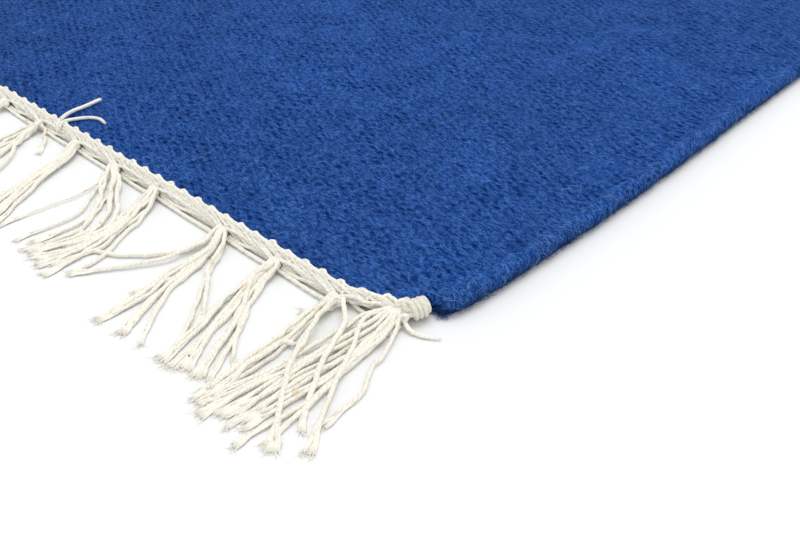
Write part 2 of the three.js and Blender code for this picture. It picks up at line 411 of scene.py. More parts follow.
def fieldSection():
    # Right half of the section, from the middle of the top round the selvedge to the middle of the bottom.
    # Each column: inset from the side, height, how far outward and upward it faces, share of the unevenness.
    roll, foot, thick = outline["roll"], outline["foot"], outline["thick"]
    inner = halfWidth - roll - foot
    flat = np.linspace(0, inner, round(inner / fieldMesh["column"]) + 1)
    columns = [(halfWidth - x, thick, 0, 1, 0) for x in flat]
    first = math.radians(fieldMesh["rollStart"])
    start = (roll - roll * math.cos(first), roll + roll * math.sin(first))
    for share in fieldMesh["footSteps"]:
        ease = share * share * (3 - 2 * share)
        inset = (roll + foot) * (1 - share) + start[0] * share
        columns.append((inset, thick + (start[1] - thick) * ease, 0, 1, 0.6 * ease))
    for share in np.linspace(0, 1, fieldMesh["rollSteps"]):
        angle = first + share * (-math.pi / 2 - first)
        lump = 1 - 0.9 * max(0, share - 0.6) / 0.4
        out, up = math.cos(angle), math.sin(angle)
        columns.append((roll - roll * out, roll + roll * up, out, up, lump))
    for x in np.linspace(halfWidth - roll, 0, 7)[1:]:
        columns.append((halfWidth - x, 0, 0, 0, 0))
    return np.array(columns)


def makeField():
    right = fieldSection()
    sign = np.concatenate([-np.ones(len(right)), np.ones(len(right) - 1)])
    section = np.vstack([right[::-1], right[1:]])
    rows = round(2 * halfLength / fieldMesh["rowStep"])
    mesh = gridMesh("wovenField", len(section) - 1, rows, 1)

    flat = readMesh(mesh.vertices, "co", 3)
    column = np.rint((flat[:, 0] + 1) / 2 * (len(section) - 1)).astype(int)
    y = flat[:, 1] * halfLength
    inset, z, outX, outZ, lump = section[column].T
    side = sign[column]
    reach = np.where(side > 0, sideAt(1, y), sideAt(-1, y))
    edge = np.where(z > 0, outline["roll"] + outline["foot"], outline["roll"])
    uneven = np.sin(y / 2.9 + side) * np.sin(y / 7.1 + 2 * side)
    uneven += 0.7 * np.sin(y / 19 + side) * np.sin(y / 5.3)
    proud = lump * fieldMesh["unevenness"] * uneven
    spread = (halfWidth - inset) * (reach - edge) / (halfWidth - edge)
    x = side * np.where(inset < edge, reach - inset + proud * outX, spread)
    top = (outZ > 0.99) & (lump == 0)
    hills = np.sin(x / 41 + 1.7 * np.sin(y / 63)) * np.sin(y / 37 + 1.1 * np.sin(x / 71)) * top
    z = np.maximum(z + proud * outZ + fieldMesh["cockle"] * hills * np.clip(inset / 60, 0, 1), 0)
    mesh.vertices.foreach_set("co", (np.stack([x, y, z], 1) * mm).ravel())

    # u follows the section round the selvedges, v runs along the warps
    across = sign * (halfWidth - section[:, 0])
    around = np.concatenate([[0], np.cumsum(np.hypot(np.diff(across), np.diff(section[:, 1])))])
    around -= around[len(right) - 1]
    u = np.where((inset < edge) | (z == 0), around[column] + side * (reach - halfWidth), x)
    corner = readMesh(mesh.loops, "vertex_index", kind=int)
    uv = mesh.uv_layers.new(name="UVMap")
    uv.data.foreach_set("uv", (np.stack([u, y], 1)[corner] * mm).ravel())

    bm = bmesh.new()
    bm.from_mesh(mesh)
    seam = [v for v in bm.verts if abs(v.co.x) < 1e-7 and v.co.z < 1e-5]
    bmesh.ops.remove_doubles(bm, verts=seam, dist=1e-6)
    bmesh.ops.holes_fill(bm, edges=[e for e in bm.edges if e.is_boundary], sides=0)
    bmesh.ops.recalc_face_normals(bm, faces=bm.faces)
    bm.to_mesh(mesh)
    bm.free()
    return addPiece("wovenField", mesh, woolMaterial())


field = makeField()
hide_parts("woven_field")


def strandTemplate(sides, rings, copies):
    # Many unit cords side by side: a capped cylinder cut into rings, repeated by an array
    bm = bmesh.new()
    bmesh.ops.create_cone(bm, cap_ends=True, segments=sides, radius1=1, radius2=1, depth=1)
    long = [e for e in bm.edges if abs(e.verts[0].co.z - e.verts[1].co.z) > 0.5]
    bmesh.ops.subdivide_edges(bm, edges=long, cuts=rings - 2, use_grid_fill=True)
    uv = bm.loops.layers.uv.new("UVMap")
    for face in bm.faces:
        middle = face.calc_center_median()
        turn = math.atan2(middle.y, middle.x)
        for loop in face.loops:
            angle = math.atan2(loop.vert.co.y, loop.vert.co.x)
            angle = turn + (angle - turn + math.pi) % (2 * math.pi) - math.pi
            loop[uv].uv = (angle / (2 * math.pi), loop.vert.co.z + 0.5)
    mesh = bpy.data.meshes.new("strands")
    bm.to_mesh(mesh)
    bm.free()
    one = addObject("strands", mesh)
    array = one.modifiers.new("array", "ARRAY")
    array.count = copies
    array.use_relative_offset = False
    array.use_constant_offset = True
    array.constant_offset_displace = (0, 0, 2)
    made = bpy.data.meshes.new_from_object(one.evaluated_get(bpy.context.evaluated_depsgraph_get()))
    bpy.data.objects.remove(one)
    return made


def unit(v):
    return v / np.maximum(np.linalg.norm(v, axis=-1, keepdims=True), 1e-12)


def taper(rings, tipShare, tipSize, rootShare=0.04, rootSize=0.6):
    t = np.linspace(0, 1, rings)
    return np.interp(t, [0, rootShare, 1 - tipShare, 1], [rootSize, 1, 1, tipSize])


strandPieces = []


def layStrands(name, paths, radii, material, sides=7, tip=None, tints=None, lobes=None):
    # paths: strands x rings x 3; radii: one number, one per ring, or strands x rings
    # With a tip, which is its share of the length and its size, radii is one number or one per strand
    paths = np.asarray(paths, float)
    copies, rings = paths.shape[:2]
    if tip:
        radii = np.multiply.outer(radii, taper(rings, *tip))
    radii = np.broadcast_to(radii, (copies, rings))
    mesh = strandTemplate(sides, rings, copies)
    mesh.name = name
    count = len(mesh.vertices) // copies
    template = readMesh(mesh.vertices, "co", 3)[:count]
    ring = np.rint((template[:, 2] + 0.5) * (rings - 1)).astype(int)
    angle = np.arctan2(template[:, 1], template[:, 0])

    tangent = unit(np.gradient(paths, axis=1))
    normal = np.empty_like(paths)
    start = np.cross(tangent[:, 0], [0.0, 0.0, 1.0])
    weak = np.linalg.norm(start, axis=1) < 0.1
    start[weak] = np.cross(tangent[weak, 0], [1.0, 0.0, 0.0])
    normal[:, 0] = unit(start)
    for i in range(1, rings):
        carried = normal[:, i - 1] - (normal[:, i - 1] * tangent[:, i]).sum(1, keepdims=True) * tangent[:, i]
        normal[:, i] = unit(carried)
    other = np.cross(tangent, normal)
    steps = np.linalg.norm(np.diff(paths, axis=1), axis=2)
    lengths = np.concatenate([np.zeros((copies, 1)), np.cumsum(steps, axis=1)], 1)

    reach = radii[:, ring]
    if lobes:
        turns = lengths[:, ring] / lobes["pitch"]
        reach = reach * (1 + lobes["depth"] * np.cos(lobes["count"] * angle + 2 * np.pi * turns))
    placed = paths[:, ring] + reach[..., None] * (
        np.cos(angle)[None, :, None] * normal[:, ring] + np.sin(angle)[None, :, None] * other[:, ring]
    )
    placed[..., 2] = np.maximum(placed[..., 2], 0)
    mesh.vertices.foreach_set("co", (placed * mm).ravel())

    layer = mesh.uv_layers["UVMap"].data
    uv = readMesh(layer, "uv", 2)
    uv[:, 1] = lengths[:, ring].ravel()[readMesh(mesh.loops, "vertex_index", kind=int)] * mm
    layer.foreach_set("uv", uv.ravel())
    if tints is None:
        tints = np.random.default_rng(copies).random(copies)
    attribute = mesh.attributes.new("strandTint", "FLOAT", "POINT")
    attribute.data.foreach_set("value", np.repeat(tints, count))
    mesh.update()
    strandPieces.append(addPiece(name, mesh, material))
    return strandPieces[-1]


def evenPath(points, rings, crowd=1.0):
    # Smooth path through a few points, cut into equal steps, or closer ones at its start
    run = smoothRun(points, 12)
    length = np.concatenate([[0], np.cumsum(np.linalg.norm(np.diff(run, axis=0), axis=1))])
    wanted = length[-1] * np.linspace(0, 1, rings) ** crowd
    return np.stack([np.interp(wanted, length, run[:, i]) for i in range(3)], 1)


def atEnd(end, points):
    # Everything is laid out for the front end; the back end is the same turned half round
    return np.asarray(points, float) * ([-1, -1, 1] if end == "back" else [1, 1, 1])


band = dict(
    warpPitch=4.1, cord=1.45, insetLimit=8.5, stopFromSide=16.5, slant=17, rings=21,
    face=[(0.38, 1.35, 5.75), (0.56, 1.95, 4.7), (0.76, 2.5, 3.6), (0.92, 2.95, 2.6)],
    lanes=[dict(outward=3.2, z=1.1), dict(outward=2.9, z=2.2), dict(outward=2.5, z=3.2)], recess=0.6,
    core=[(1.2, 2.4), (0.8, 4.0)], coreSize=1.5,
    edgeCord=1.4, sag=(0.2, 0.7), lobes=dict(count=2, depth=0.1, pitch=4.4),
)
knots = dict(loop=0.8, corner=13.5, pitch=29)


def lastWeft(x):
    return -halfLength + min(float(endInset(x)), band["insetLimit"])


def fromWeft(x, outward, z):
    # A point measured outward from the last weft
    return (x, lastWeft(x) - outward, z)


def fromEndLine(x, outward, z):
    # A point measured outward from the straight line of the end
    return (x, -halfLength - outward, z)


def knotPlaces(end):
    # Distances in from the right side: given ones first, then an even run
    given = list(frontTassels) if end == "front" else [knots["corner"]]
    stop = 2 * halfWidth - knots["corner"]
    count = round((stop - given[-1]) / knots["pitch"])
    chance = random.Random(5 if end == "front" else 8)
    rest = [given[-1] + (stop - given[-1]) * (i + 1) / count for i in range(count)]
    rest = [place + chance.uniform(-2, 2) for place in rest[:-1]] + rest[-1:]
    return [halfWidth - place for place in given + rest]


def bandStrands(end, chance):
    # Each warp end comes up over the last weft, every other one as a knuckle, slants down the face of the
    # band and runs along its foot to the next knot
    places = sorted(knotPlaces(end))
    first, last = -halfWidth + band["stopFromSide"], halfWidth - band["stopFromSide"]
    count = round((last - first) / band["warpPitch"])
    gathered = {}
    corners = (places[0], places[-1])
    paths = []
    for i in range(count + 1):
        x = first + (last - first) * i / count + chance.uniform(-0.3, 0.3)
        slant = band["slant"] + chance.uniform(-2, 2)
        goal = next((place for place in places if place > x + slant - 3), places[-1])
        slant = min(slant, goal + 1 - x)
        order = gathered[goal] = gathered.get(goal, 0) + 1
        proud = chance.uniform(-0.3, 0.3)
        ease = min(1, slant / 12)
        if i % 2:
            proud += 0.5 * (1 - ease)
            points = [(x - 1.7 * ease, 1.9, 4.4), (x - 1.4 * ease, 1.15 + proud, 5.7),
                      (x - 0.5 * ease, 0.4 + proud, 6.45), (x + 0.8 * ease, 0.2 + proud, 6.75),
                      (x + 1.9 * ease, 0.8 + proud / 2, 6.45), (x + 4.2 * ease, 1.1, 6.25)]
        else:
            points = [(x - 1.0 * ease, 2.4, 4.3), (x - 0.4 * ease, 1.5, 5.5), (x + 1.2 * ease, 1.1, 6.15)]
        lane = band["lanes"][min(2, (order - 1) // 2)]
        low = lane["z"]
        before = max((place for place in places if place < goal), default=goal - knots["pitch"])
        for share, out, z in band["face"]:
            if z > low + 0.4:
                shift = chance.uniform(-0.15, 0.15)
                points.append((x + slant * share, out + shift, z + 0.55 * shift))
        reach = goal - x - slant
        if reach > 6:
            for share in (0.15, 0.45, 0.75):
                along = x + slant + share * reach
                drawn = band["recess"] * (along - before) / (goal - before) + (1.9 if goal in corners else 0)
                raised = 0.6 if goal in corners else 0
                points.append((along, lane["outward"] - drawn + chance.uniform(-0.1, 0.1), low + raised))
        points.append((max(goal, x + slant) + 0.4, 4.2, 2.4))
        paths.append(evenPath([fromWeft(*p) for p in points], band["rings"], crowd=1.6))
    return atEnd(end, paths)


def bandArcs(end, chance):
    # Two strands that leave each knot and are laid over the foot of the band
    places = sorted(knotPlaces(end))
    paths = []
    for a, b in zip(places, places[1:]):
        run = b - a
        over = [(a - 0.6, 4.3, 3.2), (a + 1.4, 3.9, 4.2), (a + 0.13 * run, 3.3, 4.4),
                (a + 0.26 * run, 2.9, 4.2), (a + 0.45 * run, 2.7, 3.7), (a + 0.65 * run, 2.6, 3.0),
                (b - 5, 3.0, 2.4), (b - 1, 3.9, 2.3)]
        under = [(a + 1.4, 3.5, 1.6), (a + 0.17 * run, 4.0, 1.6), (a + 0.33 * run, 4.1, 1.6),
                 (a + 0.46 * run, 3.6, 1.8), (a + 0.63 * run, 2.8, 2.1), (b - 4, 2.7, 1.9),
                 (b - 0.6, 4.2, 2.2)]
        if b == places[-1]:  # the short bay at the corner
            over = [(a - 0.6, 4.3, 3.2), (a + 1.5, 3.4, 4.2), (a + 5, 2.5, 4.4), (a + 9.3, 3.3, 4.2),
                    (a + 12, 2.5, 4.4), (a + 14.5, 1.7, 4.5), (a + 17.5, 2.3, 4.2), (b - 0.6, 3.8, 3.2)]
            under = [(a - 0.6, 3.5, 2.6), (a + 1.5, 1.8, 3.0), (a + 3.5, 1.3, 3.3), (a + 6.9, 2.6, 3.3),
                     (a + 9.5, 3.4, 3.3), (a + 11.2, 2.8, 3.5), (a + 12.4, 1.4, 3.7), (a + 14, 0.9, 4.0),
                     (b - 3, 2.2, 3.8), (b - 0.6, 3.8, 3.2)]
        for points in (over, under):
            shift = chance.uniform(-0.1, 0.1)
            points = [fromWeft(x, outward + shift, z) for x, outward, z in points]
            paths.append(evenPath(points, band["rings"]))
    return atEnd(end, paths)


def bandCore(end):
    # The heart of the band that the cords lie on, a low strip following the end
    last = halfWidth - band["stopFromSide"] + 3
    xs = np.linspace(-last, last, 150)
    back = 0.9 * np.clip((np.abs(xs) - halfWidth + 28) / 4, 0, 1)
    paths = [[fromWeft(x, outward - drawn, z) for x, drawn in zip(xs, back)] for outward, z in band["core"]]
    return atEnd(end, paths)


# Tassels: distance of the knot from the right side, then for each cord its place in the knot, how far to
# the right it has drifted at a fifth, a half and three quarters of the way and at its tip, its reach from
# the end, its lift, and its thickness
frontTassels = {
    13.5: [
        (-2, -6.7, 1.9, 9.3, 16.9, 55, 2.2, 1.7), (-2, -9.7, -10.1, -12, -15.6, 60, 1, 1.8),
        (-1.8, -8.4, -8.8, -10.8, -13.5, 62, 0, 1.6), (-1.5, -5.5, -6.8, -9.5, -11.9, 65, 1, 2.0),
        (-1.2, -4.5, -6, -7.8, -8.5, 63, 0, 1.7), (-1, -2.5, -5.8, -5.8, -4.5, 64, 1, 1.6),
        (-0.8, -1.8, -3.8, -4.5, -6.5, 61, 0, 1.7), (-0.5, -0.3, 0.3, -2.7, -1.9, 59, 1, 1.9),
        (-0.2, 0.2, -0.8, -1, -3.2, 61, 0, 1.6), (0, 0, 1.8, 0.9, -0.3, 59, 0, 1.8),
        (0.2, 0.8, 2.8, 2.6, 1.2, 60, 1, 1.6), (0.5, 1.9, 4.4, 5.6, 3.4, 67, 0, 1.7),
        (0.8, 1.9, 4.2, 7, 8.9, 62, 1, 1.8), (1.5, 3.8, 8.8, 14.2, 14.9, 46, 0, 1.6),
        (0.5, 1, 1.5, 0.5, -0.5, 17, 0, 1.4),
    ],
    34.5: [
        (-3, -1.8, -0.4, 0.9, 1.9, 63, 1, 1.8), (-2.6, -1, 0.3, 1.4, 0.4, 60, 0, 1.6),
        (-2, 0.2, 1.1, 1.9, 3.6, 59, 0, 1.8), (-1.6, 0.4, 2.4, 3.6, 3, 62, 1, 1.6),
        (-0.8, 1, 3.8, 5.3, 5.3, 64, 0, 1.7), (0, 2.4, 9.5, 17.5, 28, 60, 1.4, 1.6),
        (0.5, 3.2, 10.6, 19.8, 31.2, 63, 2.6, 1.9), (5, 12, 17.8, 23.9, 30.8, 53, 2, 1.9),
        (1, 0.5, 0, -1.5, -2.5, 16, 0, 1.5),
    ],
    64: [
        (-2, -1.5, 2.5, 6, 9, 58, 0, 1.8), (-1, 0, 3.5, 8, 11, 60, 1, 1.6), (0, 1, 8, 12, 18, 58, 0, 1.9),
        (1, 0.5, 11, 17.5, 23, 57, 1, 1.9), (2, 4, 12, 20, 26, 56, 0, 1.9),
        (2.5, 4.5, 11, 18, 28, 51, 0, 1.6),
    ],
    92: [
        (-3, -1.5, -5, -13, -30, 49, 0, 1.8), (-2, 0, -2.5, -9, -17, 56, 1, 1.9),
        (-1, 3.5, 4.5, 8, 9, 62, 0, 1.8), (0, 5, 7, 10, 10.5, 62, 1, 1.6), (0.5, 6, 9, 13, 18, 62, 0, 1.8),
        (1, 6, 10.5, 16, 25, 60, 0, 1.9), (2, 10, 19, 30, 38, 58, 0, 1.7), (2.5, 8, 13, 23, 31, 43, 1, 1.7),
    ],
    132.5: [
        (-2, -0.5, 4.5, 7.5, 9.5, 49, 0, 1.8), (0, 4.5, 10, 11, 4.5, 60, 1, 1.7),
        (2, 7, 11.5, 15.5, 12.5, 56, 0, 1.8), (-1, 1.5, 5.5, 7.5, 0.5, 57, 0, 1.7),
        (1, 5.5, 11.5, 14.5, 15.5, 60, 1, 1.8), (2.5, 8, 14, 20, 22, 55, 0, 1.6),
    ],
    158: [
        (-2, 1, 13, 20.5, 26, 42, 1, 1.8), (-1, 11, 27, 29, 26, 57, 0, 1.8),
        (1, 15, 31.5, 32, 28, 55, 1, 1.9), (-3, 5, 20, 26, 24, 56, 0, 1.7),
        (0, 2, 4, 3, 2, 55, 0, 0.9), (2, 14, 29, 34, 34, 50, 0, 1.7),
    ],
    186.5: [
        (-3, 1.5, 6.5, 10.5, 14.5, 58, 0, 1.8), (0, 5.5, 9.5, 13.5, 17.5, 60, 1, 1.9),
        (-1, 3.5, 7.5, 10.5, 11.5, 60, 0, 1.8), (1, 6, 11, 16, 21, 57, 0, 1.7),
        (2, 7, 13, 19, 26, 56, 1, 1.7),
    ],
    215: [
        (-1, -3, -3, -2, 0, 55, 0, 1.8), (1, 4, 8, 11, 14, 58, 0, 1.9), (3, 7, 11, 14, 16, 19, 0, 1.5),
        (2, 3, 13, 21, 27, 50, 1, 1.8), (0, 0, 3, 6, 9, 59, 0, 1.8),
    ],
}


fringe = dict(
    rings=24, waver=0.5, crimp=0.22, yarns=9, yarnRings=6, fullBefore=40, extra=3, wisps=2, wispReach=3.0,
    wispSize=0.105, fuzz=2400, fuzzSize=0.055, hairRings=4, hairTip=(0.5, 0.5),
)
yarnSteps = np.linspace(0, 1, fringe["yarnRings"])
hairSteps = np.linspace(0, 1, fringe["hairRings"])


def fibrePath(x, y, z, low=0.1):
    # Points of one fibre, kept clear of the floor
    return np.column_stack([x, y, np.maximum(z, low)])


def curlOut(turn, curl, length):
    # A fibre lying down, curling away from its root
    angle = turn + curl * hairSteps
    return length * hairSteps * np.cos(angle), length * hairSteps * np.sin(angle)


def looseTassel(chance):
    # A tassel like the others, its cords leaning and parting by chance
    lean = chance.uniform(-9, 16)
    spread = chance.uniform(9, 24)
    count = chance.choice((6, 7, 7, 8))
    cords = []
    for i in range(count):
        share = (i + 0.5) / count - 0.5
        tip = lean + spread * share * 1.3 + chance.uniform(-3, 3)
        bow = chance.uniform(-3, 3)
        cords.append((5 * share, 0.2 * tip + 2 * share + bow, 0.5 * tip + bow, 0.75 * tip + 0.6 * bow, tip,
                      chance.uniform(50, 63), chance.choice((0, 0, 1, 1.6)), chance.uniform(1.5, 2.0)))
    if chance.random() < 0.45:
        side = chance.choice((-1, 1))
        cords.append((side, side * 4, side * 11, side * 19, side * 27, chance.uniform(44, 56), 2.4, 1.8))
    return cords


def cordBetween(chance, cords):
    # One more cord lying somewhere between two of the others
    first, second = chance.sample(cords, 2)
    share = chance.uniform(0.25, 0.75)
    mixed = [a * (1 - share) + b * share for a, b in zip(first, second)]
    shift = chance.uniform(-1.5, 1.5)
    for place, amount in ((1, 0.4), (2, 0.8), (3, 1), (4, 1.6)):
        mixed[place] += amount * shift
    return tuple(mixed)


def tasselCords(end, chance):
    paths, widths = [], []
    for place in knotPlaces(end):
        fromSide = halfWidth - place
        known = end == "front" and fromSide in frontTassels
        cords = frontTassels[fromSide] if known else looseTassel(chance)
        if known and fromSide > fringe["fullBefore"]:
            cords = cords + [cordBetween(chance, cords) for _ in range(fringe["extra"])]
        root = -halfLength - lastWeft(place) + (4.9 if fromSide > 20 else 4.2)
        inward = -2.6 * place / abs(place) if halfWidth - abs(place) < 20 else 0
        for number, (dx, near, middle, far, tip, reach, lift, width) in enumerate(cords):
            layer = 0.9 + (number % 2) * 1.2
            limit = halfWidth + 9 - place
            near, middle, far, tip = (min(v, limit) for v in (near, middle, far, tip))
            reach -= 6
            run = reach - root
            third = 0.45 * dx + 0.55 * near + 0.4 * inward
            points = [
                (0.5 * dx - 1.0 + inward, root - 2.0, 2.6 + 0.5 * layer),
                (0.8 * dx + inward, root + 0.4, 2.4 + 0.8 * layer),
                (third, root + 0.1 * run, 1.3 + 0.8 * layer + 0.5 * lift),
                (near, root + 0.2 * run, 0.9 + 0.35 * layer + lift),
                (middle, root + 0.5 * run, 0.95 + 0.9 * lift),
                (far, root + 0.75 * run, 0.95 + 0.3 * lift),
                (tip, reach, 0.8),
            ]
            points = [fromEndLine(place + x, outward, z) for x, outward, z in points]
            paths.append(evenPath(points, fringe["rings"], crowd=1.2))
            widths.append(0.9 * width)
    return atEnd(end, paths), np.array(widths)


def wavered(paths, chance):
    # Handled cords are never quite straight, and keep a short crimp from the weaving
    paths = np.array(paths)
    share = np.linspace(0, 1, paths.shape[1])
    for path in paths:
        for axis in (0, 1):
            for waves in (2, 3, 4, 6, 8):
                size = fringe["waver"] * 2 / waves if waves < 5 else fringe["crimp"]
                wave = np.sin(2 * math.pi * waves * share + chance.uniform(0, 6))
                path[:, axis] += chance.uniform(0.3, 1) * size * np.sin(share * math.pi) * wave
    return paths


def splitEnds(cords, widths, chance):
    # Near its tip a cord untwists and opens into a blunt brush of yarns, a little crimped
    paths, sizes = [], []
    yarns, t = fringe["yarns"], yarnSteps
    count = cords.shape[1]
    for cord, width in zip(cords, widths):
        length = np.linalg.norm(np.diff(cord, axis=0), axis=1).sum()
        places = np.linspace(1 - min(0.5, chance.uniform(5, 9) / length), 1, len(t))
        steps = np.arange(count)
        centre = np.stack([np.interp(places * (count - 1), steps, cord[:, i]) for i in range(3)], 1)
        forward = unit(cord[-1] - cord[-3])
        across = unit(np.cross(forward, [0.0, 0.0, 1.0]))
        parted = chance.uniform(0.4, 1.9)
        ragged = chance.choice((0.2, 0.3, 0.7))
        swing = chance.uniform(-1, 1)
        further = chance.uniform(3.5, 6)
        wave = chance.uniform(0, 6)
        for yarn in range(yarns):
            place = 2 * (yarn + 0.5) / yarns - 1
            rise = 0.3 * width * math.cos(place * 1.4) * chance.choice((-1, 0, 1))
            end = further + chance.uniform(-1, 0.7) * ragged
            own = chance.uniform(-0.5, 0.5)
            stray = np.array([chance.uniform(-0.12, 0.12) for _ in t])
            side = place * (0.25 * width + parted * t**1.5) + swing * t * t + stray * t
            side += 0.22 * np.sin(9 * t + wave + own) * np.minimum(1, 2 * t)
            x, y, z = (centre + np.outer(side, across) + np.outer(end * t, forward)).T
            paths.append(fibrePath(x, y, (z + rise) * (1 - 0.55 * t), 0.3))
            sizes.append(0.24 * width * np.interp(t, [0, 0.35, 1], [0.85, 1, 0.85]))
    return np.array(paths), np.array(sizes)


def looseFibre(yarn, chance):
    # A single fibre at the end of a yarn
    forward = unit(yarn[-1] - yarn[-3])
    across = unit(np.cross(forward, [0.0, 0.0, 1.0]))
    base = yarn[-1] - forward * chance.uniform(0, 1.2) + across * chance.uniform(-0.25, 0.25)
    swing = chance.gauss(0, 0.3)
    curl = chance.uniform(-0.6, 0.6)
    length = chance.uniform(0.3, 1.0) * fringe["wispReach"]
    z = max(0.15, yarn[-1][2] + chance.uniform(-0.25, 0.3))
    t = hairSteps
    angle = swing * (0.4 + 0.6 * t) + curl * t * t
    ahead, aside = length * t * np.cos(angle), length * t * np.sin(angle)
    x, y, _ = (base + np.outer(ahead, forward) + np.outer(aside, across)).T
    return fibrePath(x, y, z * (1 - 0.4 * t))


def cordFibre(cords, widths, chance):
    # A short fibre standing off one of the cords
    pick = chance.randrange(len(cords))
    spot = chance.randrange(3, cords.shape[1] - 4)
    forward = unit(cords[pick][spot + 1] - cords[pick][spot])
    across = unit(np.cross(forward, [0.0, 0.0, 1.0]))
    up = np.cross(across, forward)
    turn = chance.uniform(-0.4, math.pi + 0.4)
    out = across * math.cos(turn) + up * math.sin(turn)
    base = cords[pick][spot] + forward * chance.uniform(0, 2) + out * widths[pick] * 0.44
    lean = chance.uniform(-1.2, 1.2)
    length = chance.uniform(0.5, 1.7)
    bend = across * chance.uniform(-0.5, 0.5)
    t = hairSteps
    curve = np.outer(t - 0.4 * t * t, out) + np.outer(lean * t, forward) + np.outer(t * t, bend)
    return fibrePath(*(base + length * curve).T, 0.08)


def edgeCords(end, chance):
    # From each knot to the next, lying a little away from the band
    paths = []
    places = sorted(knotPlaces(end))
    for a, b in zip(places, places[1:]):
        sag = chance.uniform(*band["sag"])
        run = b - a
        points = [(a - 1.0, 4.0, 1.8), (a + 1.6, 4.9, 1.2), (a + 0.3 * run, 5.0 + 0.5 * sag, 0.95),
                  (a + 0.62 * run, 5.1 + 0.9 * sag, 0.95), (b - 4.5, 5.2 + 0.5 * sag, 1.0),
                  (b - 1.4, 4.9, 1.7), (b + 0.6, 4.2, 2.2)]
        if b == places[-1]:
            points = [(a - 1.0, 3.2, 1.8), (a + 1.6, 1.2, 1.2), (a + 4.5, 2.2, 1.0), (a + 7.5, 3.8, 1.0),
                      (a + 10.3, 4.9, 1.0), (b - 6, 5.6, 1.2), (b - 2.5, 5.4, 1.7), (b - 0.6, 4.8, 2.0)]
        paths.append(evenPath([fromWeft(*p) for p in points], 40))
    return atEnd(end, paths)


def knotLoops(end, chance):
    # One turn of cord pulled tight round the root of each tassel
    paths = []
    for place in knotPlaces(end)[1:-1]:
        wide, high = chance.uniform(1.8, 2.2), chance.uniform(1.3, 1.6)
        points = []
        for step in np.linspace(-0.05, 1.1, 12):
            turn = 2 * math.pi * step
            x, z = place + wide * math.cos(turn), 2.7 + high * math.sin(turn)
            points.append(fromWeft(x, 4.6 + 0.9 * step, z))
        paths.append(evenPath(points, 20))
    return atEnd(end, paths)


whip = dict(
    fromSide=11.4, fromEnd=8.4, turnDegrees=67, rise=6, length=7.5, radius=3.55, lift=4.3, turns=3.0,
    closing=1.25, cord=1.72, rings=90, startAngle=2.0, heart=2.3, lead=0.85, tail=0.78,
)


def whipFrame(sign):
    turn, rise = math.radians(whip["turnDegrees"]), math.radians(whip["rise"])
    level = math.cos(rise)
    axis = np.array([sign * math.cos(turn) * level, math.sin(turn) * level, math.sin(rise)])
    sideways = np.array([sign * math.sin(turn), -math.cos(turn), 0])
    centre = np.array([sign * (halfWidth - whip["fromSide"]), -halfLength + whip["fromEnd"], whip["lift"]])
    return centre, axis, sideways


def whipping(end, sign):
    centre, axis, sideways = whipFrame(sign)
    up = np.cross(axis, sideways) * -sign
    radius = whip["radius"] - whip["cord"] / 2
    pitch = (whip["length"] - 1.3 * whip["cord"] - 0.5) / whip["turns"]
    points = []
    for turn in np.linspace(0, whip["turns"] + whip["closing"], whip["rings"]):
        # The last turn winds inwards and closes the end
        closed = max(0, turn - whip["turns"]) / whip["closing"]
        angle = 2 * math.pi * turn + whip["startAngle"]
        along = whip["cord"] / 2 - whip["length"] / 2 + pitch * min(turn, whip["turns"]) + 1.3 * closed**0.8
        place = centre + axis * along
        reach = radius * (1 - 0.66 * closed**1.5)
        points.append(place + reach * (math.cos(angle) * sideways - math.sin(angle) * up))
    heart = [centre + axis * t * (whip["length"] - 0.9) for t in np.linspace(-0.5, 0.5, 12)]
    return atEnd(end, [points]), atEnd(end, [heart])


def leadIn(end, sign):
    # Cords that carry on from the band into the whipping at the corner
    centre, axis, sideways = whipFrame(sign)
    paths = []
    for outward, z, across in ((0.0, 6.0, -1.8), (1.2, 6.0, -0.6), (2.4, 5.2, 0.6), (3.6, 3.9, 1.8)):
        near = halfWidth - 18.5
        start = ((near, 0.8, z - 2.0), (near + 1.8, 0.3, z - 0.6), (near + 3.4, 0.1, z))
        points = [fromWeft(sign * x, outward + further, height) for x, further, height in start]
        x, y, _ = centre - axis * 3.4 + sideways * across
        points += [(x - sign * 1.0, y - 0.4, z - 0.4), (x + sign * 1.6, y + 1.4, 4.4)]
        paths.append(evenPath(points, 26))
    return atEnd(end, paths)


def cornerTail(end, sign):
    # The whipping's own end: a loop round the corner knot and a loose tail
    x = halfWidth - knots["corner"]
    loop = []
    for step in np.linspace(0, 1.2, 9):
        turn = 2 * math.pi * step + 2.2
        side, rise = math.cos(turn), math.sin(turn)
        loop.append((x + 1.5 + 0.73 * side + 0.3 * step, -2.4 - 0.69 * side + 0.3 * step, 3.9 + rise))
    tail = [(x - 0.2, -3.6, 3.4), (x + 1.5, -2.4, 3.3), (x + 3.2, -1.7, 2.0), (x + 5.8, -1.5, 1.0),
            (x + 9.0, -2.3, 0.8), (x + 12.0, -3.8, 0.7), (x + 14.4, -5.3, 0.65)]
    placed = ([fromEndLine(sign * px, out, z) for px, out, z in run] for run in (loop, tail))
    return atEnd(end, [evenPath(points, 22) for points in placed])


strayEnds = [
    # x, outward from the end line, height
    dict(width=1.6, points=[(99, 4.6, 3.5), (98.4, 2.6, 7.4), (96.5, -2, 8.2), (94, -7.5, 7.6),
                            (93, -13, 7.2), (92.5, -21, 7.6)]),
    dict(width=1.7, points=[(270.8, 50.5, 1.0), (269.1, 44.5, 2.6), (269.5, 38.6, 3.0), (268.9, 33.7, 2.6),
                            (268.3, 29.6, 2.0), (270.2, 27.6, 1.6), (271.8, 27.2, 1.2)]),
    dict(width=1.4, points=[(99.5, 3.8, 4.5), (99.5, 1.5, 7.2), (100.5, -3, 7.2), (103, -8.5, 6.8),
                            (107, -11, 6.6), (112, -10.5, 6.5)]),
]

